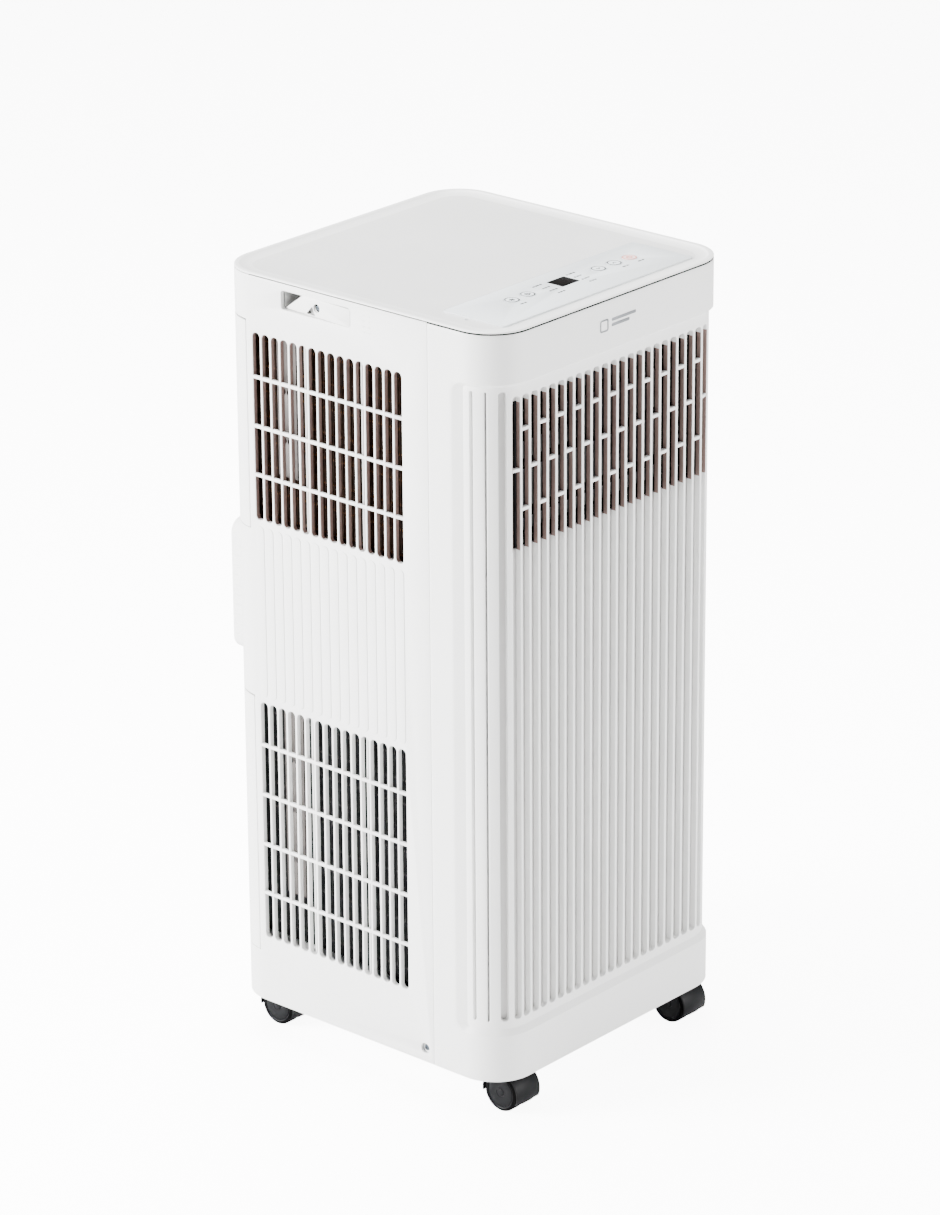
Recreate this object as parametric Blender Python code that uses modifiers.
"""Portable air conditioner on four twin-wheel casters, as separate sub-parts.

Metres, +Z up. The front faces -Y. The origin is on the floor, under the middle of the box that
holds the whole object, so the body's own middle lies a little forward of it.
"""

import math

import bmesh
import bpy
from mathutils import Matrix, Vector

# ---- driving dimensions -------------------------------------------------------------------------
BODY_WIDTH = 0.292
BODY_DEPTH = 0.300
BODY_TOP = 0.680
FLOOR_CLEARANCE = 0.034
CORNER_RADIUS = 0.0365
CORNER_STEPS = 7
TIGHT_RADIUS = 0.0015
SHELL_WALL = 0.0025
GAP = 0.0003
REAR_REACH = 0.028

# Body parts are placed from the middle of the body, which lies this far from the origin along Y.
BODY_Y = -REAR_REACH / 2
HALF_WIDTH = BODY_WIDTH / 2
HALF_DEPTH = BODY_DEPTH / 2

LID_EDGE = 0.0015
LID_SEAM_GAP = 0.0005
LID_RIM = 0.0125
LID_RECESS = 0.0022
LID_LIP = 0.0062
SHELL_TOP = BODY_TOP - LID_EDGE - LID_SEAM_GAP

# Where the front shell meets the side panels, from the front face.
FRONT_SEAM = 0.0719
SEAM_GAP = 0.0004

# The ribbed field of the front, sunk into the shell.
FIELD_SINK = 0.0035
FIELD_BAND = 0.0435
FIELD_SKIRT = 0.041
FIELD_SIDE = 0.0476
GROOVE_DEPTH = 0.0057
GROOVE_FLOOR = 0.0020
GROOVE_INSET_BOTTOM = 0.012
GROOVE_INSET_TOP = 0.0178
SLOT_COUNT = 23
SLOT_PITCH = 0.01076
SLOT_WIDTH = 0.0080
OUTLET_HEIGHT = 0.1235
BRIDGE_HEIGHT = 0.003
BRIDGE_DEPTH = 0.0035
BRIDGE_RISES_EVEN = (0.0338, 0.1005)
BRIDGE_RISES_ODD = (0.0675,)
CORNER_GROOVES = ((11.0, 0.0024, 0.003), (31.5, 0.0016, 0.003), (55.0, 0.0062, 0.0052))

# The intake grilles of the two sides.
SIDE_SLOTS = 16
SIDE_PITCH = 0.01021
SIDE_SLOT_WIDTH = 0.0081
SIDE_FIRST_SLOT = 0.1065
UPPER_GRILLE = (BODY_TOP - 0.2109, BODY_TOP - 0.0497)
LOWER_GRILLE = (0.0936, 0.3081)

# Hand pockets high on the two sides.
POCKET_LENGTH = 0.075
POCKET_HEIGHT = 0.016
POCKET_DEPTH = 0.022
POCKET_MIDDLE = 0.0405
POCKET_RISE = BODY_TOP - 0.016
POCKET_WALL = 0.002

# Filter frames that pull off the rear, and the wall behind them.
UPPER_FILTER = (BODY_TOP - 0.2195, BODY_TOP - 0.0415)
LOWER_FILTER = (0.0800, 0.3110)
FILTER_EDGE = 0.032
FILTER_FIT = 0.0006
FILTER_MESH_INSET = 0.0032
FILTER_MESH_THICKNESS = 0.0020
REAR_WALL_INSET = 0.0060
REAR_WALL = 0.0025
REAR_WINDOW_EDGE = 0.012
REAR_SLOT_MARGIN = 0.011

# The exhaust socket on the rear.
EXHAUST_WIDTH = 0.214
EXHAUST_HEIGHT = 0.116
EXHAUST_RISE = 0.384
EXHAUST_RADIUS = 0.012
EXHAUST_WALL = 0.0035
EXHAUST_LIP = 0.006
EXHAUST_BARS = 4
EXHAUST_BAR = 0.003

# Control panel.
OVERLAY_LENGTH = 0.235
OVERLAY_DEPTH = 0.064
OVERLAY_THICKNESS = 0.0008
OVERLAY_FROM_FRONT = 0.049
CONTROL_ROW_FROM_FRONT = 0.056
DISPLAY_LENGTH = 0.021
DISPLAY_DEPTH = 0.017
BUTTON_RADIUS = 0.0062
BUTTON_FLANGE = 0.0012
BUTTON_FLANGE_THICKNESS = 0.0020
BUTTON_FIT = 0.0004
BUTTON_TRAVEL = 0.0006
SWITCH_HALF = 0.003
BUTTONS = {
    "mode_button": -0.0628,
    "fan_button": -0.0437,
    "down_button": 0.0436,
    "up_button": 0.0634,
    "power_button": 0.0827,
}
BOARD_THICKNESS = 0.0016
BOARD_DROP = 0.0155
BOARD_INSET = 0.006

# Screws of the pockets and of the sides. Places are measured from the middle of the body.
SCREW_HEAD = 0.0028
SCREW_SHANK = 0.0015
SCREW_LENGTH = 0.008
SCREW_HEAD_HEIGHT = 0.0013
SCREW_SEAT = SCREW_HEAD_HEIGHT + GAP
SIDE_SCREW_PLACE = (-0.0684, 0.0462)
POCKET_SCREW_HEAD = 0.0035

# Base pan and casters.
PAN_FLOOR = 0.0375
PAN_THICKNESS = 0.0025
PAN_RIM = 0.058
PAN_FIT = 0.0004
CASTER_X = HALF_WIDTH - 0.0368
CASTER_Y = HALF_DEPTH - 0.0243
CASTER_TRAIL = 0.0045
WHEEL_RADIUS = 0.017
WHEEL_WIDTH = 0.0122
YOKE_WEB = 0.0036
HOOD_GAP = 0.0008
HOOD_WALL = 0.0012
AXLE_RADIUS = 0.002
AXLE_FIT = 0.0003
AXLE_END = 0.002
WHEEL_CROWN = 0.0012
WEB_HUB = 0.0065
STEM_RADIUS = 0.004
STEM_FIT = 0.0004
STEM_DROP = 0.004
COLLAR_RADIUS = 0.0075
BOSS_RADIUS = 0.009
BOSS_TOP = 0.060

# Holes low in the rear: the drain plug and the cord's gland.
DRAIN_PLACE = (-0.060, 0.0620)
DRAIN_HOLE = 0.0085
DRAIN_HEAD = 0.011
DRAIN_REACH = 0.016
GLAND_PLACE = (0.080, 0.0600)
GLAND_HOLE = 0.0085
GLAND_HEAD = 0.012
GLAND_REACH = 0.012
CORD_RADIUS = 0.0035

# Refrigeration.
COIL_INSET = 0.012
COIL_THICKNESS = 0.022
COIL_FRONT = SIDE_FIRST_SLOT - (SIDE_SLOTS - 1) * SIDE_PITCH - 0.0034
EVAPORATOR_TOP = BODY_TOP - 0.050
CONDENSER = (0.094, 0.305)
COMPRESSOR_RADIUS = 0.052
COMPRESSOR_HEIGHT = 0.170
COMPRESSOR_PLACE = (-0.028, 0.030)
ACCUMULATOR_RADIUS = 0.021
ACCUMULATOR_HEIGHT = 0.115
ACCUMULATOR_PLACE = (0.060, 0.030)
ACCUMULATOR_RISE = 0.030
COMPRESSOR_FEET = 3
FOOT_CIRCLE = 0.058
FOOT_RADIUS = 0.011
FOOT_RISE = 0.0085
FOOT_THICKNESS = 0.003
STUD_RADIUS = 0.008
PIPE_RADIUS = 0.004
DECK_INSET = 0.0122
TRAY_RIM = 0.0027
TRAY_RIM_HEIGHT = 0.005
DECK = (BODY_TOP - 0.2238, BODY_TOP - 0.2213)

# Air handling.
UPPER_WHEEL_RADIUS = 0.054
UPPER_WHEEL_LENGTH = 0.130
UPPER_WHEEL_PLACE = (0.025, BODY_TOP - 0.132)
UPPER_SCROLL_LENGTH = 0.190
UPPER_SCROLL_FROM_FRONT = 0.038
LOWER_WHEEL_RADIUS = 0.068
LOWER_WHEEL_HEIGHT = 0.060
LOWER_WHEEL_PLACE = (0.010, -0.008)
LOWER_SCROLL = (0.336, 0.430)
SCROLL_WALL = 0.002
BLADES = 16
BLADE_DEPTH = 0.011
CAGE_DISC = 0.002
CAGE_RING = 0.004
CAGE_BORE = 0.0038
HUB_RADIUS = 0.010
SHAFT_RADIUS = 0.003
UPPER_MOTOR_RADIUS = 0.034
UPPER_MOTOR_LENGTH = 0.020
LOWER_MOTOR_RADIUS = 0.036
LOUVRES = 3
LOUVRE_CHORD = 0.015
LOUVRE_THICKNESS = 0.002
LOUVRE_SPAN = 0.212
LOUVRE_PIN = 0.0015
LOUVRE_FRAME_DEPTH = 0.020
LOUVRE_FRAME_WALL = 0.004

WHITE = (0.80, 0.80, 0.79)
CHARCOAL = (0.035, 0.035, 0.038)
COPPER = (0.72, 0.36, 0.20)
STEEL = (0.55, 0.56, 0.57)


# ---- scene and materials ------------------------------------------------------------------------
def new_collection(name):
    made = bpy.data.collections.new(name)
    bpy.context.scene.collection.children.link(made)
    return made


for old in list(bpy.data.objects):
    bpy.data.objects.remove(old, do_unlink=True)
PARTS = new_collection("portable_air_conditioner")
CUTTERS = new_collection("cutters")


def finish(piece, colour, roughness=0.45, metallic=0.0):
    """Give a piece its own plain material."""
    paint = bpy.data.materials.new(piece.name)
    paint.use_nodes = True
    shader = paint.node_tree.nodes["Principled BSDF"]
    shader.inputs["Base Color"].default_value = (*colour, 1.0)
    shader.inputs["Roughness"].default_value = roughness
    shader.inputs["Metallic"].default_value = metallic
    piece.data.materials.clear()
    piece.data.materials.append(paint)
    return piece


# ---- shape makers -------------------------------------------------------------------------------
def add_mesh(name, shape, round_sides=False):
    mesh = bpy.data.meshes.new(name)
    shape.to_mesh(mesh)
    shape.free()
    if round_sides:
        mesh.shade_smooth()
        mesh.set_sharp_from_angle(angle=math.radians(35))
    piece = bpy.data.objects.new(name, mesh)
    PARTS.objects.link(piece)
    return piece


def box_matrix(low, high):
    size = Vector(high) - Vector(low)
    middle = (Vector(high) + Vector(low)) / 2
    return Matrix.Translation(middle) @ Matrix.Diagonal((*size, 1.0))


def boxes(name, corners, turns=None):
    """One mesh of separate boxes, each given by its lowest and highest corner."""
    shape = bmesh.new()
    for index, (low, high) in enumerate(corners):
        place = box_matrix(low, high)
        if turns:
            place = turns[index] @ place
        bmesh.ops.create_cube(shape, size=1.0, matrix=place)
    return add_mesh(name, shape)


def box(name, low, high):
    return boxes(name, [(low, high)])


def rod(name, radius, start, end, steps=16):
    """A cylinder from one point to another."""
    along = Vector(end) - Vector(start)
    turn = along.to_track_quat("Z", "Y").to_matrix().to_4x4()
    place = Matrix.Translation((Vector(start) + Vector(end)) / 2) @ turn
    shape = bmesh.new()
    bmesh.ops.create_cone(
        shape, cap_ends=True, segments=steps, radius1=radius, radius2=radius, depth=along.length, matrix=place
    )
    return add_mesh(name, shape, round_sides=True)


def plate(name, outlines, low, high, place=None):
    """A flat outline, with any holes, extruded from low to high along its own Z axis."""
    curve = bpy.data.curves.new(name, "CURVE")
    curve.dimensions = "2D"
    curve.fill_mode = "BOTH"
    curve.extrude = (high - low) / 2
    for outline in outlines:
        spline = curve.splines.new("POLY")
        spline.points.add(len(outline) - 1)
        for point, (across, up) in zip(spline.points, outline):
            point.co = (across, up, 0.0, 1.0)
        spline.use_cyclic_u = True
    sketch = bpy.data.objects.new(name + "_sketch", curve)
    PARTS.objects.link(sketch)
    rise = Matrix.Translation((0, 0, (high + low) / 2))
    return harden(name, sketch, rise if place is None else place @ rise)


def harden(name, sketch, place):
    """Turn a curve object into a welded mesh object, and remove the curve."""
    ready = sketch.evaluated_get(bpy.context.evaluated_depsgraph_get())
    mesh = bpy.data.meshes.new_from_object(ready)
    bpy.data.objects.remove(sketch, do_unlink=True)
    shape = bmesh.new()
    shape.from_mesh(mesh)
    bmesh.ops.remove_doubles(shape, verts=shape.verts, dist=1e-6)
    shape.transform(place)
    bpy.data.meshes.remove(mesh)
    return add_mesh(name, shape, round_sides=True)


def pipe(name, radius, points):
    """A round tube, filled, along a list of points."""
    curve = bpy.data.curves.new(name, "CURVE")
    curve.dimensions = "3D"
    curve.bevel_depth = radius
    curve.bevel_resolution = 2
    curve.use_fill_caps = True
    spline = curve.splines.new("POLY")
    spline.points.add(len(points) - 1)
    for point, place in zip(spline.points, points):
        point.co = (*place, 1.0)
    sketch = bpy.data.objects.new(name + "_sketch", curve)
    PARTS.objects.link(sketch)
    return harden(name, sketch, Matrix.Identity(4))


def turned(name, profile, place, steps=20):
    """A solid of revolution about Z: the profile runs down its outer side, from axis to axis."""
    shape = bmesh.new()
    rim = [shape.verts.new((radius, 0.0, rise)) for radius, rise in profile]
    for upper, lower in zip(rim, rim[1:]):
        shape.edges.new((upper, lower))
    piece = add_mesh(name, shape)
    piece.matrix_world = place
    screw = piece.modifiers.new("turn", "SCREW")
    screw.steps = steps
    screw.render_steps = steps
    screw.use_merge_vertices = True
    screw.merge_threshold = 1e-5
    screw.use_smooth_shade = True
    return piece


def strip(name, path, low, high, thickness, place):
    """A thin wall that stands on an open path, extruded along its own Z axis."""
    shape = bmesh.new()
    foot = [shape.verts.new((across, up, low)) for across, up in path]
    edges = [shape.edges.new(pair) for pair in zip(foot, foot[1:])]
    grown = bmesh.ops.extrude_edge_only(shape, edges=edges)["geom"]
    risen = [item for item in grown if isinstance(item, bmesh.types.BMVert)]
    bmesh.ops.translate(shape, verts=risen, vec=(0, 0, high - low))
    shape.transform(place)
    piece = add_mesh(name, shape)
    wall = piece.modifiers.new("wall", "SOLIDIFY")
    wall.thickness = thickness
    wall.offset = 0.0
    wall.use_even_offset = True
    return piece


def combine(piece, tool, operation):
    step = piece.modifiers.new(tool.name, "BOOLEAN")
    step.operation = operation
    step.solver = "EXACT"
    step.object = tool
    PARTS.objects.unlink(tool)
    CUTTERS.objects.link(tool)
    tool.hide_render = True
    tool.display_type = "WIRE"


def cut(piece, *tools):
    for tool in tools:
        combine(piece, tool, "DIFFERENCE")
    return piece


def join(piece, *tools):
    for tool in tools:
        combine(piece, tool, "UNION")
    return piece


def move_origin(piece, point):
    """Put a piece's origin on its joint's axis without moving its shape."""
    shift = piece.matrix_world.inverted() @ Vector(point)
    piece.data.transform(Matrix.Translation(-shift))
    piece.matrix_world = piece.matrix_world @ Matrix.Translation(shift)
    return piece


# ---- outlines of the body -----------------------------------------------------------------------
def arc(middle, radius, start, end, steps):
    """Points of an arc, by angles in degrees."""
    angles = [math.radians(start + (end - start) * step / steps) for step in range(steps + 1)]
    return [(middle[0] + radius * math.cos(a), middle[1] + radius * math.sin(a)) for a in angles]


def body_corner(side_x, side_y, inset, start, end):
    radius = max(CORNER_RADIUS - inset, TIGHT_RADIUS)
    middle_x = side_x * (HALF_WIDTH - inset - radius)
    middle_y = BODY_Y + side_y * (HALF_DEPTH - inset - radius)
    return arc((middle_x, middle_y), radius, start, end, CORNER_STEPS)


def body_outline(inset):
    return (
        body_corner(1, 1, inset, 0, 90)
        + body_corner(-1, 1, inset, 90, 180)
        + body_corner(-1, -1, inset, 180, 270)
        + body_corner(1, -1, inset, 270, 360)
    )


def front_wrap(inset, end_y):
    """The body's outline round the front, from the left side to the right, ending at end_y."""
    side = HALF_WIDTH - inset
    left = body_corner(-1, -1, inset, 180, 270)
    right = body_corner(1, -1, inset, 270, 360)
    return [(-side, end_y)] + left + right + [(side, end_y)]


def rear_wrap(inset, end_y):
    """The body's outline round the rear, from the right side to the left. It may start in the corners."""
    radius = max(CORNER_RADIUS - inset, TIGHT_RADIUS)
    past = (end_y - (REAR_Y - inset - radius)) / radius
    start = math.degrees(math.asin(max(past, 0.0)))
    points = body_corner(1, 1, inset, start, 90) + body_corner(-1, 1, inset, 90, 180 - start)
    if past < 0:
        side = HALF_WIDTH - inset
        points = [(side, end_y)] + points + [(-side, end_y)]
    return points


def band(wrap, outer, inner, end_y):
    """A closed U-shaped outline between two insets."""
    return wrap(outer, end_y) + wrap(inner, end_y)[::-1]


def rounded_rectangle(middle, size, radius, steps=4):
    half_x = size[0] / 2 - radius
    half_y = size[1] / 2 - radius
    points = []
    for side_x, side_y, start in ((1, 1, 0), (-1, 1, 90), (-1, -1, 180), (1, -1, 270)):
        corner = (middle[0] + side_x * half_x, middle[1] + side_y * half_y)
        points += arc(corner, radius, start, start + 90, steps)
    return points


def circle(middle, radius, steps=20):
    return arc(middle, radius, 0, 360 - 360 / steps, steps - 1)


# Local axes of a plate that faces the rear: its own Z runs along world Y.
FACE_REAR = Matrix(((-1, 0, 0, 0), (0, 0, 1, 0), (0, 1, 0, 0), (0, 0, 0, 1)))
# Local X and Y run along world Y and Z, and local Z along world X.
FACE_SIDE = Matrix(((0, 0, 1, 0), (1, 0, 0, 0), (0, 1, 0, 0), (0, 0, 0, 1)))

FRONT_Y = BODY_Y - HALF_DEPTH
REAR_Y = BODY_Y + HALF_DEPTH
SEAM_Y = FRONT_Y + FRONT_SEAM
FIELD_BOTTOM = FLOOR_CLEARANCE + FIELD_SKIRT
FIELD_TOP = BODY_TOP - FIELD_BAND
GROOVE_BOTTOM = FIELD_BOTTOM + GROOVE_INSET_BOTTOM
OUTLET_TOP = FIELD_TOP - GROOVE_INSET_TOP
OUTLET_BOTTOM = OUTLET_TOP - OUTLET_HEIGHT
FIELD_BACK = FIELD_SINK + GROOVE_DEPTH + GROOVE_FLOOR
FILTER_END_Y = REAR_Y - FILTER_EDGE
PANEL_HALF = HALF_WIDTH - CORNER_RADIUS
BEYOND = 0.010


# ---- casing -------------------------------------------------------------------------------------
def slot_middle(index):
    return (index - (SLOT_COUNT - 1) / 2) * SLOT_PITCH


def front_grooves():
    """One closed cutter for each slot: a groove down the field that goes right through at the outlet."""
    outer = FRONT_Y - BEYOND
    floor = FRONT_Y + FIELD_SINK + GROOVE_DEPTH
    through = FRONT_Y + FIELD_BACK + BEYOND
    profile = [
        (outer, GROOVE_BOTTOM),
        (floor, GROOVE_BOTTOM),
        (floor, OUTLET_BOTTOM),
        (through, OUTLET_BOTTOM),
        (through, OUTLET_TOP),
        (outer, OUTLET_TOP),
    ]
    first = plate("front_grooves", [profile], -SLOT_WIDTH / 2, SLOT_WIDTH / 2, FACE_SIDE)
    shape = bmesh.new()
    for index in range(SLOT_COUNT):
        known = len(shape.verts)
        shape.from_mesh(first.data)
        shape.verts.ensure_lookup_table()
        bmesh.ops.translate(shape, verts=shape.verts[known:], vec=(slot_middle(index), 0, 0))
    shape.to_mesh(first.data)
    shape.free()
    return first


def outlet_bridges():
    """Short bars across the outlet's slots, staggered from one slot to the next."""
    corners = []
    reach = SLOT_WIDTH / 2 + (SLOT_PITCH - SLOT_WIDTH) / 3
    low_y = FRONT_Y + FIELD_SINK + 2 * GAP
    for index in range(SLOT_COUNT):
        rises = BRIDGE_RISES_ODD if index % 2 == 0 else BRIDGE_RISES_EVEN
        for rise in rises:
            middle = OUTLET_BOTTOM + rise
            corners.append((
                (slot_middle(index) - reach, low_y, middle - BRIDGE_HEIGHT / 2),
                (slot_middle(index) + reach, low_y + BRIDGE_DEPTH, middle + BRIDGE_HEIGHT / 2),
            ))
    return boxes("outlet_bridges", corners)


def corner_grooves():
    """Upright grooves round the two front corners, cut towards each corner's middle."""
    corners = []
    turns = []
    for side in (-1, 1):
        middle = Matrix.Translation((side * PANEL_HALF, FRONT_Y + CORNER_RADIUS, 0))
        for angle, width, depth in CORNER_GROOVES:
            start = CORNER_RADIUS - FIELD_SINK - depth
            low = (start, -width / 2, GROOVE_BOTTOM)
            corners.append((low, (CORNER_RADIUS + BEYOND, width / 2, OUTLET_TOP)))
            heading = 180 + angle if side < 0 else -angle
            turns.append(middle @ Matrix.Rotation(math.radians(heading), 4, "Z"))
    return boxes("corner_grooves", corners, turns)


def make_front_shell():
    end_y = SEAM_Y - SEAM_GAP / 2
    field_end = FRONT_Y + FIELD_SIDE
    lap = 0.004
    shell = plate("front_shell", [band(front_wrap, 0, SHELL_WALL, end_y)], FLOOR_CLEARANCE, SHELL_TOP)
    backing = band(front_wrap, SHELL_WALL / 2, FIELD_BACK, field_end + lap)
    field = band(front_wrap, -BEYOND, FIELD_SINK, field_end)
    join(shell, plate("field_backing", [backing], FIELD_BOTTOM - lap, FIELD_TOP + lap))
    cut(shell, plate("field_cut", [field], FIELD_BOTTOM, FIELD_TOP), front_grooves(), corner_grooves())
    join(shell, outlet_bridges())
    return finish(shell, WHITE)


def side_slots(side, name, zone):
    corners = []
    for index in range(SIDE_SLOTS):
        middle = BODY_Y + SIDE_FIRST_SLOT - index * SIDE_PITCH
        low_x, high_x = sorted((side * (HALF_WIDTH + BEYOND), side * (HALF_WIDTH - BEYOND)))
        corners.append((
            (low_x, middle - SIDE_SLOT_WIDTH / 2, zone[0]),
            (high_x, middle + SIDE_SLOT_WIDTH / 2, zone[1]),
        ))
    return boxes(name, corners)


def filter_notch(name, zone):
    low = (-HALF_WIDTH - BEYOND, FILTER_END_Y - FILTER_FIT, zone[0] - FILTER_FIT)
    high = (HALF_WIDTH + BEYOND, REAR_Y + BEYOND, zone[1] + FILTER_FIT)
    return box(name, low, high)


def pocket_box(side, grow, depth, past_side):
    """Corners of a hand pocket's box, grown by grow in Y and Z, and reaching out past the side."""
    low_x, high_x = sorted((side * (HALF_WIDTH - depth), side * (HALF_WIDTH + past_side)))
    middle = BODY_Y + POCKET_MIDDLE
    low = (low_x, middle - POCKET_LENGTH / 2 - grow, POCKET_RISE - POCKET_HEIGHT / 2 - grow)
    high = (high_x, middle + POCKET_LENGTH / 2 + grow, POCKET_RISE + POCKET_HEIGHT / 2 + grow)
    return low, high


def make_side_panel(side, name):
    start_y = SEAM_Y + SEAM_GAP / 2
    if side < 0:
        outer = body_corner(-1, 1, 0, 180, 90)
        inner = body_corner(-1, 1, SHELL_WALL, 180, 90)
    else:
        outer = body_corner(1, 1, 0, 0, 90)
        inner = body_corner(1, 1, SHELL_WALL, 0, 90)
    start = [(side * HALF_WIDTH, start_y)]
    end = [(side * (HALF_WIDTH - SHELL_WALL), start_y)]
    panel = plate(name, [start + outer + inner[::-1] + end], FLOOR_CLEARANCE, SHELL_TOP)
    cut(panel, filter_notch(name + "_upper_notch", UPPER_FILTER))
    cut(panel, filter_notch(name + "_lower_notch", LOWER_FILTER))
    cut(panel, side_slots(side, name + "_upper_slots", UPPER_GRILLE))
    cut(panel, side_slots(side, name + "_lower_slots", LOWER_GRILLE))
    cut(panel, box(name + "_pocket_hole", *pocket_box(side, GAP, POCKET_DEPTH, BEYOND)))
    cut(panel, side_screw_hole(side, name + "_screw_hole"), side_screw_seat(side, name + "_screw_seat"))
    return finish(panel, WHITE)


def make_rear_panel():
    half = PANEL_HALF - SEAM_GAP
    deep = REAR_WALL_INSET + REAR_WALL
    panel = box("rear_panel", (-half, REAR_Y - deep, FLOOR_CLEARANCE), (half, REAR_Y, SHELL_TOP))
    for name, zone in (("upper", UPPER_FILTER), ("lower", LOWER_FILTER)):
        low_z = zone[0] - FILTER_FIT
        high_z = zone[1] + FILTER_FIT
        sink = box(
            name + "_filter_seat",
            (-half - BEYOND, REAR_Y - REAR_WALL_INSET, low_z),
            (half + BEYOND, REAR_Y + BEYOND, high_z),
        )
        edge = REAR_WINDOW_EDGE
        window = box(
            name + "_air_window",
            (-half + edge, REAR_Y - deep - BEYOND, low_z + edge),
            (half - edge, REAR_Y, high_z - edge),
        )
        cut(panel, sink, window)
    throat = rounded_rectangle(
        (0, EXHAUST_RISE),
        (EXHAUST_WIDTH - 2 * EXHAUST_LIP, EXHAUST_HEIGHT - 2 * EXHAUST_LIP),
        EXHAUST_RADIUS - EXHAUST_LIP / 2,
    )
    cut(panel, plate("exhaust_hole", [throat], REAR_Y - deep - BEYOND, REAR_Y + BEYOND, FACE_REAR))
    holes = (("drain_hole", DRAIN_PLACE, DRAIN_HOLE), ("gland_hole", GLAND_PLACE, GLAND_HOLE))
    for name, (across, rise), radius in holes:
        start = (across, REAR_Y - deep - BEYOND, rise)
        cut(panel, rod(name, radius, start, (across, REAR_Y + BEYOND, rise)))
    # The lowest edge is thin, so that the casters' hoods swing clear of it.
    relief_low = (-half - BEYOND, REAR_Y - deep - BEYOND, FLOOR_CLEARANCE - BEYOND)
    cut(panel, box("caster_relief", relief_low, (half + BEYOND, REAR_Y - SHELL_WALL, PAN_FLOOR)))
    return finish(panel, WHITE)


def make_top_cover():
    cover = plate("top_cover", [body_outline(0)], BODY_TOP - LID_EDGE, BODY_TOP)
    lip_top = BODY_TOP - LID_EDGE / 2
    plug = plate("lid_plug", [body_outline(SHELL_WALL + PAN_FIT)], BODY_TOP - LID_EDGE - LID_LIP, lip_top)
    join(cover, plug)
    cut(cover, plate("lid_recess", [body_outline(LID_RIM)], BODY_TOP - LID_RECESS, BODY_TOP + BEYOND))
    rear_low = (-PANEL_HALF - BEYOND, REAR_Y - REAR_WALL_INSET - REAR_WALL - PAN_FIT, BODY_TOP - BEYOND)
    rear_high = (PANEL_HALF + BEYOND, REAR_Y + BEYOND, BODY_TOP - LID_EDGE - GAP)
    cut(cover, box("lid_rear_relief", rear_low, rear_high))
    for name, across in BUTTONS.items():
        cut(cover, button_bore(name + "_lid_bore", across))
    cut(cover, display_hole("display_lid_hole"))
    return finish(cover, WHITE)


# ---- control panel ------------------------------------------------------------------------------
RECESS_FLOOR = BODY_TOP - LID_RECESS
OVERLAY_BOTTOM = RECESS_FLOOR + GAP
OVERLAY_TOP = OVERLAY_BOTTOM + OVERLAY_THICKNESS
LID_UNDERSIDE = BODY_TOP - LID_EDGE - LID_LIP
CONTROL_Y = FRONT_Y + CONTROL_ROW_FROM_FRONT
OVERLAY_Y = FRONT_Y + OVERLAY_FROM_FRONT
BOARD_TOP = BODY_TOP - BOARD_DROP


def button_bore(name, across):
    start = (across, CONTROL_Y, LID_UNDERSIDE - BEYOND)
    return rod(name, BUTTON_RADIUS + BUTTON_FIT, start, (across, CONTROL_Y, BODY_TOP + BEYOND))


def display_hole(name):
    half_x = DISPLAY_LENGTH / 2 + GAP
    half_y = DISPLAY_DEPTH / 2 + GAP
    low = (-half_x, CONTROL_Y - half_y, LID_UNDERSIDE - BEYOND)
    return box(name, low, (half_x, CONTROL_Y + half_y, BODY_TOP + BEYOND))


def make_control_panel():
    outline = rounded_rectangle((0, OVERLAY_Y), (OVERLAY_LENGTH, OVERLAY_DEPTH), 0.003)
    overlay = plate("control_overlay", [outline], OVERLAY_BOTTOM, OVERLAY_TOP)
    for name, across in BUTTONS.items():
        cut(overlay, button_bore(name + "_overlay_bore", across))
    cut(overlay, display_hole("display_overlay_hole"))
    finish(overlay, (0.74, 0.77, 0.78))

    half_x = DISPLAY_LENGTH / 2
    half_y = DISPLAY_DEPTH / 2
    lens = box(
        "display_window",
        (-half_x, CONTROL_Y - half_y, LID_UNDERSIDE),
        (half_x, CONTROL_Y + half_y, OVERLAY_TOP),
    )
    finish(lens, (0.02, 0.02, 0.025), roughness=0.12)

    flange_top = LID_UNDERSIDE - GAP
    flange_bottom = flange_top - BUTTON_FLANGE_THICKNESS
    for name, across in BUTTONS.items():
        foot = (across, CONTROL_Y, flange_bottom)
        cap = rod(name, BUTTON_RADIUS, foot, (across, CONTROL_Y, OVERLAY_TOP + GAP))
        ring = rod(
            name + "_flange",
            BUTTON_RADIUS + BUTTON_FIT + BUTTON_FLANGE,
            (across, CONTROL_Y, flange_bottom + GAP),
            (across, CONTROL_Y, flange_top),
        )
        join(cap, ring)
        finish(move_origin(cap, (across, CONTROL_Y, OVERLAY_TOP)), (0.78, 0.80, 0.81))


def make_control_board():
    half = OVERLAY_LENGTH / 2 - BOARD_INSET
    low = (-half, OVERLAY_Y - OVERLAY_DEPTH / 2, BOARD_TOP - BOARD_THICKNESS)
    board = box("control_board", low, (half, OVERLAY_Y + OVERLAY_DEPTH / 2, BOARD_TOP))
    switch_top = LID_UNDERSIDE - BUTTON_FLANGE_THICKNESS - BUTTON_TRAVEL - 2 * GAP
    corners = []
    for across in BUTTONS.values():
        corners.append((
            (across - SWITCH_HALF, CONTROL_Y - SWITCH_HALF, BOARD_TOP - BOARD_THICKNESS / 2),
            (across + SWITCH_HALF, CONTROL_Y + SWITCH_HALF, switch_top),
        ))
    half_x = DISPLAY_LENGTH / 2 - GAP
    half_y = DISPLAY_DEPTH / 2 - GAP
    corners.append((
        (-half_x, CONTROL_Y - half_y, BOARD_TOP - BOARD_THICKNESS / 2),
        (half_x, CONTROL_Y + half_y, LID_UNDERSIDE - GAP),
    ))
    join(board, boxes("board_parts", corners))
    return finish(board, (0.03, 0.16, 0.07))


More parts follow.
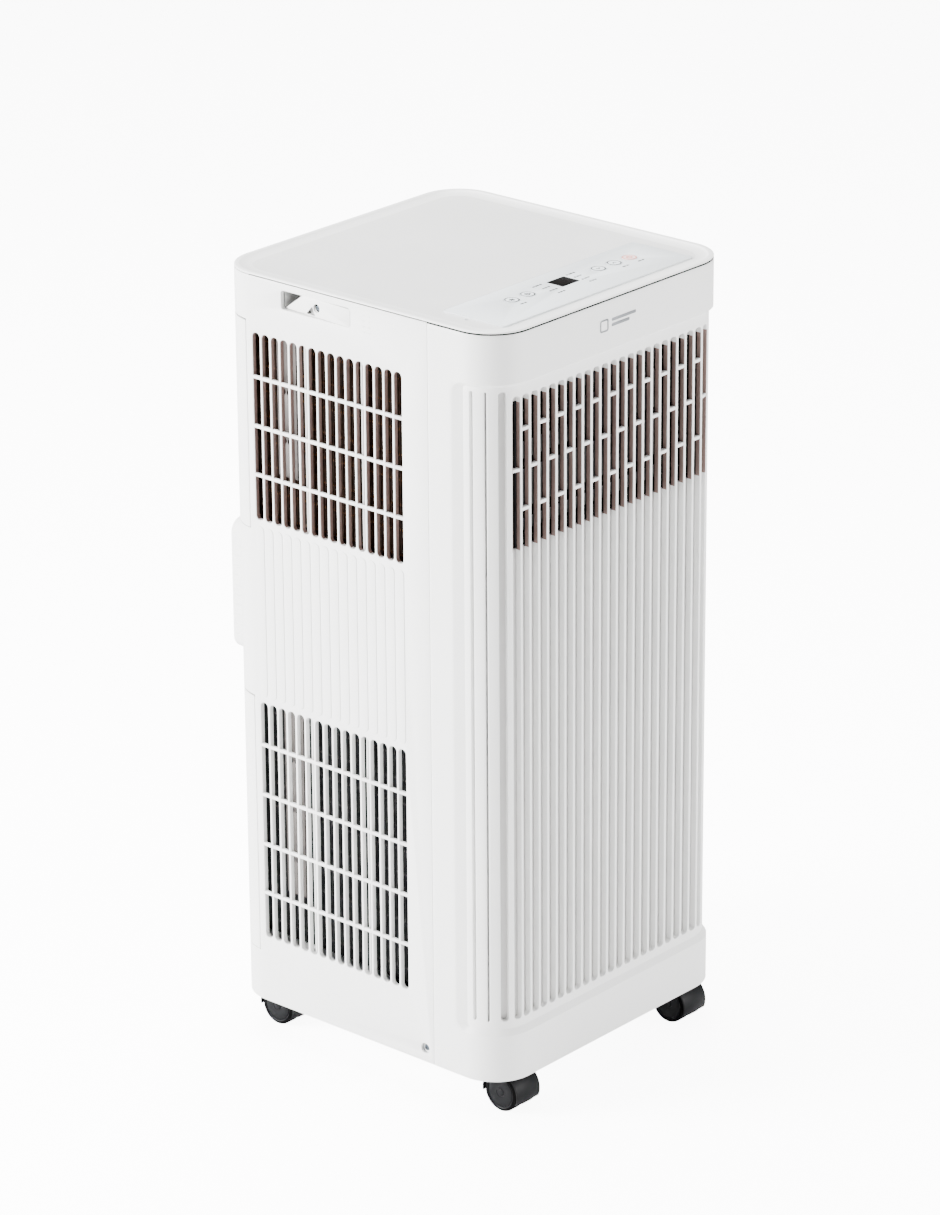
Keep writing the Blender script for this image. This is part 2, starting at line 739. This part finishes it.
# ---- hand pockets and screws --------------------------------------------------------------------
def make_hand_pocket(side, name):
    pocket = box(name, *pocket_box(side, 0, POCKET_DEPTH, 0))
    hollow = pocket_box(side, -POCKET_WALL, POCKET_DEPTH - POCKET_WALL, BEYOND)
    inner_x = side * (HALF_WIDTH - POCKET_DEPTH)
    start = (inner_x - BEYOND, BODY_Y + POCKET_MIDDLE, POCKET_RISE)
    end = (inner_x + BEYOND, BODY_Y + POCKET_MIDDLE, POCKET_RISE)
    cut(pocket, box(name + "_hollow", *hollow), rod(name + "_screw_bore", SCREW_SHANK + GAP, start, end, 12))
    return finish(pocket, WHITE)


def make_screw(name, side, head_radius, seat_x, place_y, rise):
    """A screw whose head lies against seat_x on its outer side, with its axis along X."""
    foot_x = seat_x + side * GAP
    lap_x = seat_x + side * SCREW_HEAD_HEIGHT / 2
    tip_x = seat_x - side * SCREW_LENGTH
    head = rod(name, head_radius, (foot_x, place_y, rise), (foot_x + side * SCREW_HEAD_HEIGHT, place_y, rise))
    join(head, rod(name + "_shank", SCREW_SHANK, (lap_x, place_y, rise), (tip_x, place_y, rise), 12))
    return finish(head, STEEL, roughness=0.35, metallic=1.0)


def side_screw_seat(side, name):
    """A shallow round seat, so that the screw's head lies flush with the side."""
    place_y = BODY_Y + SIDE_SCREW_PLACE[0]
    start = (side * (HALF_WIDTH + BEYOND), place_y, SIDE_SCREW_PLACE[1])
    end = (side * (HALF_WIDTH - SCREW_SEAT), place_y, SIDE_SCREW_PLACE[1])
    return rod(name, SCREW_HEAD + GAP, start, end)


def side_screw_hole(side, name):
    place_y = BODY_Y + SIDE_SCREW_PLACE[0]
    start = (side * (HALF_WIDTH + BEYOND), place_y, SIDE_SCREW_PLACE[1])
    end = (side * (HALF_WIDTH - BEYOND), place_y, SIDE_SCREW_PLACE[1])
    return rod(name, SCREW_SHANK + GAP, start, end, 12)


def make_screws():
    for side, word in ((-1, "left"), (1, "right")):
        pocket_seat = side * (HALF_WIDTH - POCKET_DEPTH + POCKET_WALL)
        place_y = BODY_Y + POCKET_MIDDLE
        make_screw("pocket_screw_" + word, side, POCKET_SCREW_HEAD, pocket_seat, place_y, POCKET_RISE)
        place_y = BODY_Y + SIDE_SCREW_PLACE[0]
        seat_x = side * (HALF_WIDTH - SCREW_SEAT)
        make_screw("side_screw_" + word, side, SCREW_HEAD, seat_x, place_y, SIDE_SCREW_PLACE[1])


# ---- base pan and casters -----------------------------------------------------------------------
PAN_TOP = PAN_FLOOR + PAN_THICKNESS


def compressor_feet():
    across, along = COMPRESSOR_PLACE
    for index in range(COMPRESSOR_FEET):
        angle = math.radians(90 + 360 * index / COMPRESSOR_FEET)
        yield across + FOOT_CIRCLE * math.cos(angle), BODY_Y + along + FOOT_CIRCLE * math.sin(angle)


def caster_places():
    for side_y, front in ((-1, "front"), (1, "rear")):
        for side_x, left in ((-1, "left"), (1, "right")):
            yield front + "_" + left, side_x * CASTER_X, BODY_Y + side_y * CASTER_Y


def make_base_pan():
    inset = REAR_WALL_INSET + REAR_WALL + PAN_FIT
    outer = SHELL_WALL + PAN_FIT
    pan = plate("base_pan", [body_outline(outer)], PAN_FLOOR, PAN_RIM)
    cut(pan, plate("pan_hollow", [body_outline(outer + SHELL_WALL)], PAN_TOP, PAN_RIM + BEYOND))
    rear_low = (-PANEL_HALF - PAN_FIT, REAR_Y - inset, PAN_FLOOR - BEYOND)
    rear_high = (PANEL_HALF + PAN_FIT, REAR_Y + BEYOND, PAN_RIM + BEYOND)
    cut(pan, box("pan_rear_relief", rear_low, rear_high))
    for name, across, along in caster_places():
        boss = rod(name + "_boss", BOSS_RADIUS, (across, along, PAN_TOP - GAP), (across, along, BOSS_TOP))
        bore_start = (across, along, PAN_FLOOR - BEYOND)
        bore_end = (across, along, BOSS_TOP + BEYOND)
        bore = rod(name + "_stem_bore", STEM_RADIUS + STEM_FIT, bore_start, bore_end)
        join(pan, boss)
        cut(pan, bore)
    for index, (across, along) in enumerate(compressor_feet()):
        start = (across, along, PAN_TOP - GAP)
        join(pan, rod("pan_stud_%d" % index, STUD_RADIUS, start, (across, along, PAN_TOP + FOOT_RISE)))
    for side, word in ((-1, "left"), (1, "right")):
        cut(pan, side_screw_hole(side, "pan_screw_hole_" + word))
    return finish(pan, (0.70, 0.71, 0.71))


def make_caster(name, across, along):
    """A twin-wheel caster: yoke with hood and stem, axle and two wheels, trailing towards the front."""
    axle_y = along - CASTER_TRAIL
    rise = WHEEL_RADIUS
    hood_inner = WHEEL_RADIUS + HOOD_GAP
    hood_outer = hood_inner + HOOD_WALL
    half = YOKE_WEB / 2 + GAP + WHEEL_WIDTH + GAP
    place = Matrix.Translation((across, axle_y, rise)) @ FACE_SIDE
    arch = arc((0, 0), hood_outer, -12, 192, 12) + arc((0, 0), hood_inner, 192, -12, 12)
    yoke = plate("caster_yoke_" + name, [arch], -half, half, place)
    web = arc((0, 0), hood_inner + HOOD_WALL / 2, -10, 190, 12)
    hub = arc((0, 0), WEB_HUB, 200, 340, 4)
    join(yoke, plate("yoke_web_" + name, [web + hub], -YOKE_WEB / 2, YOKE_WEB / 2, place))
    stem_foot = (across, along, rise + hood_inner + GAP)
    stem = rod("yoke_stem_" + name, STEM_RADIUS, stem_foot, (across, along, BOSS_TOP - STEM_DROP))
    join(yoke, stem, rod("yoke_collar_" + name, COLLAR_RADIUS, stem_foot, (across, along, PAN_FLOOR - GAP)))
    bore = AXLE_RADIUS + AXLE_FIT
    bore_start = (across - BEYOND, axle_y, rise)
    cut(yoke, rod("yoke_bore_" + name, bore, bore_start, (across + BEYOND, axle_y, rise), 12))
    finish(move_origin(yoke, (across, along, 0)), CHARCOAL, roughness=0.5)

    reach = YOKE_WEB / 2 + GAP + WHEEL_WIDTH - AXLE_END
    axle_start = (across - reach, axle_y, rise)
    axle = rod("caster_axle_" + name, AXLE_RADIUS, axle_start, (across + reach, axle_y, rise), 12)
    finish(move_origin(axle, (across, axle_y, rise)), STEEL, roughness=0.3, metallic=1.0)

    for side, word in ((-1, "left"), (1, "right")):
        inner = YOKE_WEB / 2 + GAP
        profile = [
            (0, WHEEL_WIDTH),
            (WHEEL_RADIUS - 2.5 * WHEEL_CROWN, WHEEL_WIDTH),
            (WHEEL_RADIUS - WHEEL_CROWN / 2, WHEEL_WIDTH - WHEEL_CROWN),
            (WHEEL_RADIUS, WHEEL_WIDTH / 2),
            (WHEEL_RADIUS - WHEEL_CROWN / 2, WHEEL_CROWN),
            (WHEEL_RADIUS - WHEEL_CROWN, 0),
            (0, 0),
        ]
        heading = Matrix.Rotation(math.radians(90 * side), 4, "Y")
        seat = Matrix.Translation((across + side * inner, axle_y, rise)) @ heading
        wheel = turned("caster_wheel_" + name + "_" + word, profile, seat, steps=22)
        hole_end = (across + side * (reach + GAP), axle_y, rise)
        cut(wheel, rod("wheel_bore_" + name + "_" + word, bore, (across, axle_y, rise), hole_end, 12))
        finish(wheel, CHARCOAL, roughness=0.6)


# ---- refrigeration ------------------------------------------------------------------------------
def make_coil(name, zone, colour):
    outline = band(rear_wrap, COIL_INSET, COIL_INSET + COIL_THICKNESS, BODY_Y + COIL_FRONT)
    return finish(plate(name, [outline], *zone), colour, roughness=0.4, metallic=0.8)


def capsule_profile(radius, height, dome):
    """The outer side of an upright vessel with domed ends, from its top down."""
    upper = [(radius * math.sin(a), height - dome + dome * math.cos(a)) for a in quarter_steps(4)]
    lower = [(radius * math.cos(a), dome - dome * math.sin(a)) for a in quarter_steps(4)]
    upper[0] = (0.0, height)
    lower[-1] = (0.0, 0.0)
    return upper + lower


def quarter_steps(steps):
    return [math.pi / 2 * step / steps for step in range(steps + 1)]


def make_compressor():
    across, along = COMPRESSOR_PLACE
    foot = PAN_TOP + FOOT_RISE + GAP
    base = foot + FOOT_THICKNESS
    profile = capsule_profile(COMPRESSOR_RADIUS, COMPRESSOR_HEIGHT, 0.022)
    shell = turned("compressor", profile, Matrix.Translation((across, BODY_Y + along, foot)))
    outline = []
    for index in range(COMPRESSOR_FEET):
        angle = 90 + 360 * index / COMPRESSOR_FEET
        middle = (
            across + FOOT_CIRCLE * math.cos(math.radians(angle)),
            BODY_Y + along + FOOT_CIRCLE * math.sin(math.radians(angle)),
        )
        outline += arc(middle, FOOT_RADIUS, angle - 60, angle + 60, 4)
    join(shell, plate("compressor_foot", [outline], foot + GAP, base + GAP))
    tank_x, tank_y = ACCUMULATOR_PLACE
    tank_place = Matrix.Translation((tank_x, BODY_Y + tank_y, base + ACCUMULATOR_RISE))
    tank_profile = capsule_profile(ACCUMULATOR_RADIUS, ACCUMULATOR_HEIGHT, 0.014)
    tank = turned("accumulator", tank_profile, tank_place, steps=16)
    lap = 0.006
    strap_low = (across + COMPRESSOR_RADIUS - lap, BODY_Y + along - lap, base + 0.085)
    strap_high = (tank_x - ACCUMULATOR_RADIUS + lap, BODY_Y + along + lap, base + 0.100)
    join(shell, tank, box("accumulator_strap", strap_low, strap_high))
    return finish(shell, (0.02, 0.02, 0.022), roughness=0.35, metallic=0.3)


def bend(start, middle, end, steps):
    """Points of a smooth quadratic bend."""
    for step in range(steps + 1):
        share = step / steps
        first = Vector(start).lerp(Vector(middle), share)
        yield first.lerp(Vector(middle).lerp(Vector(end), share), share)


def make_pipes():
    tank_x, tank_y = ACCUMULATOR_PLACE
    tank_top = PAN_TOP + FOOT_RISE + GAP + FOOT_THICKNESS + ACCUMULATOR_RISE + ACCUMULATOR_HEIGHT
    rise = 0.318
    start = (tank_x, BODY_Y + tank_y, tank_top + GAP)
    knee = (tank_x, BODY_Y + tank_y, rise)
    end = (tank_x + 0.040, BODY_Y + tank_y - 0.040, rise)
    suction = pipe("suction_pipe", PIPE_RADIUS, list(bend(start, knee, end, 9)))
    finish(suction, COPPER, roughness=0.3, metallic=1.0)
    across, along = COMPRESSOR_PLACE
    top = PAN_TOP + FOOT_RISE + GAP + COMPRESSOR_HEIGHT
    start = (across, BODY_Y + along, top + GAP)
    knee = (across, BODY_Y + along, top + 0.070)
    end = (across - 0.030, BODY_Y + along - 0.090, top + 0.030)
    discharge = pipe("discharge_pipe", PIPE_RADIUS * 0.8, list(bend(start, knee, end, 9)))
    finish(discharge, COPPER, roughness=0.3, metallic=1.0)


def make_condensate_deck():
    deck = plate("condensate_tray", [body_outline(DECK_INSET)], *DECK)
    outlines = []
    coil_back = COIL_INSET + COIL_THICKNESS + GAP
    for inset, radius in ((coil_back, 0.006), (coil_back + TRAY_RIM, 0.006 - TRAY_RIM)):
        size = (BODY_WIDTH - 2 * inset, BODY_DEPTH - 2 * inset)
        outlines.append(rounded_rectangle((0, BODY_Y), size, radius))
    rim = plate("tray_rim", outlines, DECK[0] + GAP, DECK[1] + TRAY_RIM_HEIGHT)
    join(deck, rim)
    return finish(deck, (0.25, 0.26, 0.27))


# ---- air handling -------------------------------------------------------------------------------
def squirrel_cage(name, radius, length, place):
    """A forward-curved blower wheel: a hub disc, blades and an end ring, about its own Z axis."""
    wheel = plate(name, [circle((0, 0), radius), circle((0, 0), CAGE_BORE, 12)], 0, CAGE_DISC, place)
    ring = [circle((0, 0), radius), circle((0, 0), radius - CAGE_RING)]
    join(wheel, plate(name + "_ring", ring, length - CAGE_RING, length, place))
    corners = []
    turns = []
    for index in range(BLADES):
        heading = Matrix.Rotation(2 * math.pi * index / BLADES, 4, "Z")
        lean = Matrix.Translation((radius - CAGE_RING / 2, 0, 0)) @ Matrix.Rotation(math.radians(32), 4, "Z")
        corners.append(((-BLADE_DEPTH, -0.0006, CAGE_DISC / 2), (0, 0.0006, length - CAGE_RING / 4)))
        turns.append(place @ heading @ lean)
    join(wheel, boxes(name + "_blades", corners, turns))
    hub = [circle((0, 0), HUB_RADIUS, 16), circle((0, 0), CAGE_BORE, 12)]
    join(wheel, plate(name + "_hub", hub, CAGE_DISC / 2, 0.016, place))
    return finish(wheel, (0.05, 0.05, 0.055), roughness=0.5)


def spiral(middle, small, large, start, end, steps):
    """Points of a scroll wall whose radius grows evenly from one angle to the other."""
    points = []
    for step in range(steps + 1):
        share = step / steps
        angle = math.radians(start + (end - start) * share)
        radius = small + (large - small) * share
        points.append((middle[0] + radius * math.cos(angle), middle[1] + radius * math.sin(angle)))
    return points


def scroll(name, path, low, high, inlet, inlet_radius, place, blind_hole):
    """A blower casing: a wall along the path, closed by two cheeks, one or both with an inlet."""
    casing = strip(name, path, low, high, SCROLL_WALL, place)
    inset = SCROLL_WALL / 4
    mouth_start = Vector(path[0]).lerp(Vector(path[1]), 0.01)
    mouth_end = Vector(path[-1]).lerp(Vector(path[-2]), 0.01)
    outline = [tuple(mouth_start)] + path[1:-1] + [tuple(mouth_end)]
    for word, rise, radius in (("near", low, inlet_radius), ("far", high - SCROLL_WALL, blind_hole)):
        holes = [outline, circle(inlet, radius)]
        cheek = plate(name + "_" + word, holes, rise + inset, rise + SCROLL_WALL - inset, place)
        join(casing, cheek)
    return finish(casing, (0.30, 0.31, 0.32))


def make_upper_blower():
    along, rise = UPPER_WHEEL_PLACE
    middle = (BODY_Y + along, rise)
    front = FRONT_Y + UPPER_SCROLL_FROM_FRONT
    half = UPPER_SCROLL_LENGTH / 2
    start = -UPPER_WHEEL_LENGTH / 2 - 0.018
    lower_lip = (front, OUTLET_BOTTOM - 0.004)
    upper_lip = (front, OUTLET_TOP)
    small = UPPER_WHEEL_RADIUS + 0.006
    path = [lower_lip] + spiral(middle, small, OUTLET_TOP - rise, 208, 450, 14) + [upper_lip]
    inlet = UPPER_WHEEL_RADIUS - 0.008
    scroll("upper_scroll", path, -half, half, middle, inlet, FACE_SIDE, inlet)
    axis = Matrix.Translation((-start, middle[0], middle[1])) @ Matrix.Rotation(math.radians(-90), 4, "Y")
    wheel = squirrel_cage("upper_blower_wheel", UPPER_WHEEL_RADIUS, UPPER_WHEEL_LENGTH, axis)
    move_origin(wheel, (0, middle[0], middle[1]))
    motor_x = -start + 0.003
    motor_end = (motor_x + UPPER_MOTOR_LENGTH, *middle)
    motor = rod("upper_fan_motor", UPPER_MOTOR_RADIUS, (motor_x, *middle), motor_end, 24)
    shaft_end = (motor_x - 0.016, *middle)
    shaft = rod("upper_motor_shaft", SHAFT_RADIUS, (motor_x + 0.002, *middle), shaft_end, 12)
    join(motor, shaft)
    finish(motor, STEEL, roughness=0.4, metallic=0.8)


def make_lower_blower():
    across, along = LOWER_WHEEL_PLACE
    middle = (across, BODY_Y + along)
    small = LOWER_WHEEL_RADIUS + 0.008
    large = LOWER_WHEEL_RADIUS + 0.034
    rear = REAR_Y - REAR_WALL_INSET - REAR_WALL - 0.002
    round_wall = spiral(middle, small, large, 125, 360, 12)
    path = [(middle[0] - small * 0.9, rear)] + round_wall + [(middle[0] + large, rear)]
    place = Matrix.Identity(4)
    scroll("lower_scroll", path, *LOWER_SCROLL, middle, LOWER_WHEEL_RADIUS - 0.012, place, 0.008)
    top = LOWER_SCROLL[1]
    hub_rise = top - SCROLL_WALL - 0.012
    axis = Matrix.Translation((*middle, hub_rise)) @ Matrix.Rotation(math.pi, 4, "X")
    wheel = squirrel_cage("lower_blower_wheel", LOWER_WHEEL_RADIUS, LOWER_WHEEL_HEIGHT, axis)
    move_origin(wheel, (*middle, hub_rise))
    motor = rod("lower_fan_motor", LOWER_MOTOR_RADIUS, (*middle, top + GAP), (*middle, DECK[0] - GAP), 24)
    shaft = rod("lower_motor_shaft", SHAFT_RADIUS, (*middle, top + 0.002), (*middle, hub_rise - 0.010), 12)
    join(motor, shaft)
    finish(motor, STEEL, roughness=0.4, metallic=0.8)


def louvre_places():
    step = OUTLET_HEIGHT / LOUVRES
    for index in range(LOUVRES):
        yield index + 1, OUTLET_BOTTOM + step * (index + 0.5)


def make_louvres():
    """A frame behind the outlet, and blades that swing on pins in its cheeks."""
    front = FRONT_Y + FIELD_BACK + 0.001
    back = front + LOUVRE_FRAME_DEPTH
    axis_y = (front + back) / 2
    half = LOUVRE_SPAN / 2 + LOUVRE_FRAME_WALL + 0.001
    wall = LOUVRE_FRAME_WALL
    frame = box("louvre_frame", (-half, front, OUTLET_BOTTOM - wall), (half, back, OUTLET_TOP + wall))
    hollow_low = (-half + wall, front - BEYOND, OUTLET_BOTTOM)
    cut(frame, box("louvre_hollow", hollow_low, (half - wall, back + BEYOND, OUTLET_TOP)))
    for index, rise in louvre_places():
        start = (-half - BEYOND, axis_y, rise)
        cut(frame, rod("pin_hole_%d" % index, LOUVRE_PIN + GAP, start, (half + BEYOND, axis_y, rise), 12))
    finish(frame, (0.10, 0.10, 0.105))
    for index, rise in louvre_places():
        name = "louvre_%d" % index
        span = LOUVRE_SPAN / 2
        section = (LOUVRE_CHORD, LOUVRE_THICKNESS)
        profile = rounded_rectangle((axis_y, rise), section, 0.45 * LOUVRE_THICKNESS, 3)
        blade = plate(name, [profile], -span, span, FACE_SIDE)
        reach = span + wall
        join(blade, rod(name + "_pin", LOUVRE_PIN, (-reach, axis_y, rise), (reach, axis_y, rise), 12))
        finish(move_origin(blade, (0, axis_y, rise)), (0.06, 0.06, 0.065))


# ---- rear ---------------------------------------------------------------------------------------
def make_exhaust_frame():
    size = (EXHAUST_WIDTH, EXHAUST_HEIGHT)
    inner = (EXHAUST_WIDTH - 2 * EXHAUST_WALL, EXHAUST_HEIGHT - 2 * EXHAUST_WALL)
    middle = (0, EXHAUST_RISE)
    start = REAR_Y + GAP
    outline = [
        rounded_rectangle(middle, size, EXHAUST_RADIUS),
        rounded_rectangle(middle, inner, EXHAUST_RADIUS - EXHAUST_WALL),
    ]
    frame = plate("exhaust_frame", outline, start, REAR_Y + REAR_REACH, FACE_REAR)
    corners = []
    step = inner[1] / (EXHAUST_BARS + 1)
    half = inner[0] / 2 + EXHAUST_WALL / 2
    for index in range(EXHAUST_BARS):
        rise = EXHAUST_RISE - inner[1] / 2 + step * (index + 1)
        low = (-half, start + GAP, rise - EXHAUST_BAR / 2)
        corners.append((low, (half, start + GAP + EXHAUST_BAR, rise + EXHAUST_BAR / 2)))
    join(frame, boxes("exhaust_bars", corners))
    return finish(frame, WHITE)


def rear_slots(name, zone):
    """Slots in the rear face of a filter frame, at the pitch of the side grilles."""
    count = 2 * int((PANEL_HALF - REAR_SLOT_MARGIN) / SIDE_PITCH) + 1
    corners = []
    for index in range(count):
        middle = (index - (count - 1) / 2) * SIDE_PITCH
        corners.append((
            (middle - SIDE_SLOT_WIDTH / 2, REAR_Y - BEYOND, zone[0] + REAR_SLOT_MARGIN),
            (middle + SIDE_SLOT_WIDTH / 2, REAR_Y + BEYOND, zone[1] - REAR_SLOT_MARGIN),
        ))
    return boxes(name, corners)


def make_filters():
    for name, zone in (("upper", UPPER_FILTER), ("lower", LOWER_FILTER)):
        frame = plate(name + "_filter_frame", [band(rear_wrap, 0, SHELL_WALL, FILTER_END_Y)], *zone)
        cut(frame, rear_slots(name + "_filter_slots", zone))
        finish(frame, WHITE)
        inset = FILTER_MESH_INSET
        high_y = REAR_Y - inset
        half = PANEL_HALF - 0.004
        edge = 0.004
        mesh = box(
            name + "_filter_mesh",
            (-half, high_y - FILTER_MESH_THICKNESS, zone[0] + edge),
            (half, high_y, zone[1] - edge),
        )
        finish(mesh, (0.16, 0.17, 0.18), roughness=0.8)


def rear_rod(name, place, radius, start_y, end_y, steps=20):
    """A rod along Y at a place on the rear, given as (x, z). Its ends are measured from the rear face."""
    across, rise = place
    return rod(name, radius, (across, REAR_Y + start_y, rise), (across, REAR_Y + end_y, rise), steps)


def make_rear_fittings():
    plug = rear_rod("drain_plug", DRAIN_PLACE, DRAIN_HEAD, GAP, 0.006)
    join(plug, rear_rod("drain_plug_core", DRAIN_PLACE, DRAIN_HOLE - 2 * GAP, 0.003, -DRAIN_REACH))
    move_origin(plug, (DRAIN_PLACE[0], REAR_Y, DRAIN_PLACE[1]))
    finish(plug, (0.72, 0.73, 0.73), roughness=0.6)
    gland = rear_rod("cord_gland", GLAND_PLACE, GLAND_HEAD, GAP, 0.004)
    join(gland, rear_rod("gland_sleeve", GLAND_PLACE, GLAND_HOLE - GAP, 0.002, -GLAND_REACH))
    cut(gland, rear_rod("gland_bore", GLAND_PLACE, CORD_RADIUS, -GLAND_REACH - BEYOND, BEYOND, 12))
    finish(gland, CHARCOAL, roughness=0.6)


def make_electrical_box():
    low = (-0.085, FRONT_Y + 0.016, 0.130)
    housing = box("electrical_box", low, (0.085, FRONT_Y + 0.052, 0.275))
    edge = housing.modifiers.new("edge", "BEVEL")
    edge.width = 0.002
    edge.segments = 1
    return finish(housing, (0.20, 0.21, 0.22))


# ---- the whole object ---------------------------------------------------------------------------
make_front_shell()
make_side_panel(-1, "left_side_panel")
make_side_panel(1, "right_side_panel")
make_rear_panel()
make_top_cover()
make_control_panel()
make_control_board()
make_hand_pocket(-1, "hand_pocket_left")
make_hand_pocket(1, "hand_pocket_right")
make_screws()
make_base_pan()
for caster_name, caster_x, caster_y in caster_places():
    make_caster(caster_name, caster_x, caster_y)
make_coil("evaporator_coil", (DECK[1] + GAP, EVAPORATOR_TOP), (0.62, 0.40, 0.28))
make_coil("condenser_coil", CONDENSER, (0.30, 0.31, 0.33))
make_compressor()
make_pipes()
make_condensate_deck()
make_upper_blower()
make_lower_blower()
make_louvres()
make_exhaust_frame()
make_filters()
make_rear_fittings()
make_electrical_box()
bpy.context.view_layer.update()
